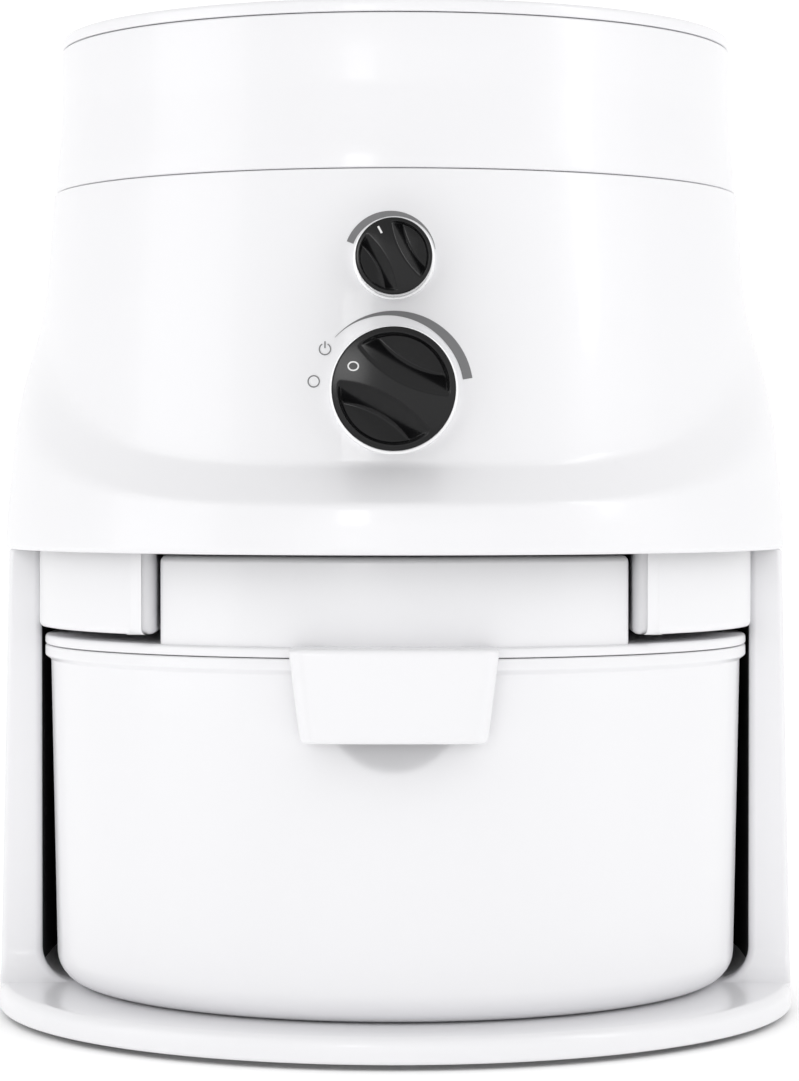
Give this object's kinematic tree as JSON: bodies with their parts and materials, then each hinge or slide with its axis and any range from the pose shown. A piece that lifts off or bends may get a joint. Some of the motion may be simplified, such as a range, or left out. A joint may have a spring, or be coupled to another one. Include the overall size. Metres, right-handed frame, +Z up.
{
  "type": "electric grain mill",
  "caption": "Upright electric grain mill with a slide-out flour bowl, a hopper under a lift-off lid, and front knobs for motor speed and feed rate.",
  "frame": {"origin": "centre of the footprint, on the surface that the rubber feet stand on", "axes": "+Z up; -Y is the front, with the knobs and the bowl's handle; +X is to the right seen from the front"},
  "size_m": [0.272, 0.308, 0.3316],
  "materials": {
    "white_gloss": "gloss",
    "white_inner": "satin",
    "dark_plastic": "matte",
    "black_gloss": "gloss",
    "rubber": "matte",
    "grey_rubber": "matte",
    "steel": "satin",
    "cast": "satin",
    "stack": "satin",
    "copper": "satin",
    "brass": "satin",
    "nylon": "satin",
    "board": "gloss",
    "foam": "matte",
    "bezel": "gloss"
  },
  "bodies": {
    "root": {"base_frame": "white_gloss", "bay_liner": "dark_plastic", "rubber_feet": "rubber", "foot_screws": "steel", "main_housing": "white_gloss", "back_panel": "white_gloss", "panel_clamps": "dark_plastic", "panel_screws": "steel", "guide_block_left": "white_gloss", "guide_block_right": "white_gloss", "cord_gland": "rubber", "hopper_ring": "white_gloss", "hopper_funnel": "white_inner", "finger_guard": "steel", "chassis_plate": "dark_plastic", "housing_screws": "steel", "lower_bearing": "steel", "upper_bearing": "steel", "chassis_posts": "steel", "field_core": "stack", "field_coils": "copper", "brush_holders": "brass", "carbon_brushes": "dark_plastic", "mill_case_lower": "cast", "case_gasket": "grey_rubber", "mill_case_upper": "cast", "case_screws": "steel", "stationary_head": "steel", "flour_chute": "white_inner", "chute_seal": "grey_rubber", "idler_pin": "steel", "gear_bracket": "steel", "power_switch": "dark_plastic", "switch_bracket": "steel", "speed_pot": "dark_plastic", "control_board": "board", "terminal_block": "white_inner", "knob_bezels": "bezel"},
    "motor_dial": {"motor_knob": "black_gloss", "pot_shaft": "steel"},
    "feed_dial": {"feed_knob": "black_gloss", "feed_shaft": "steel", "feed_pinion": "nylon", "switch_cam": "nylon"},
    "idler": {"idler_gear": "nylon"},
    "gate": {"feed_gate": "nylon"},
    "rotor": {"motor_shaft": "steel", "armature": "stack", "armature_winding": "copper", "commutator": "copper", "cooling_fan": "dark_plastic", "rotating_head": "steel", "head_nut": "brass"},
    "bowl": {"flour_bowl": "white_gloss", "bowl_lid": "white_gloss", "bowl_gasket": "grey_rubber", "filter_foam": "foam", "filter_cover": "white_inner", "separator_cup": "white_inner"},
    "lid": {"hopper_lid": "white_gloss"}
  },
  "joints": [
    {"name": "motor_dial_turn", "type": "hinge", "parent": "root", "child": "motor_dial", "pos_m": [0, -0.14, 0.2491], "axis": [0, -1, 0], "range_deg": [-105, 45]},
    {"name": "feed_dial_turn", "type": "hinge", "parent": "root", "child": "feed_dial", "pos_m": [0, -0.14, 0.2085], "axis": [0, -1, 0], "range_deg": [-141, 23]},
    {"name": "idler_turn", "type": "hinge", "parent": "root", "child": "idler", "pos_m": [0, -0.071, 0.2355], "axis": [0, -1, 0], "range_deg": [-9.9, 59.6]},
    {"name": "gate_slide", "type": "slide", "parent": "root", "child": "gate", "axis": [1, 0, 0], "range_m": [-0.0198, 0.0034]},
    {"name": "rotor_spin", "type": "hinge", "parent": "root", "child": "rotor", "pos_m": [0, -0.005, 0.2], "axis": [0, 0, 1], "continuous": true},
    {"name": "bowl_slide", "type": "slide", "parent": "root", "child": "bowl", "axis": [0, -1, 0], "range_m": [0, 0.25]},
    {"name": "lid_lift", "type": "slide", "parent": "root", "child": "lid", "axis": [0, 0, 1], "range_m": [0, 0.08]}
  ],
  "couplings": [
    {"joint": "idler_turn", "follows": "feed_dial_turn", "ratio": -0.42105},
    {"joint": "gate_slide", "follows": "feed_dial_turn", "m_per_rad": 0.008}
  ]
}
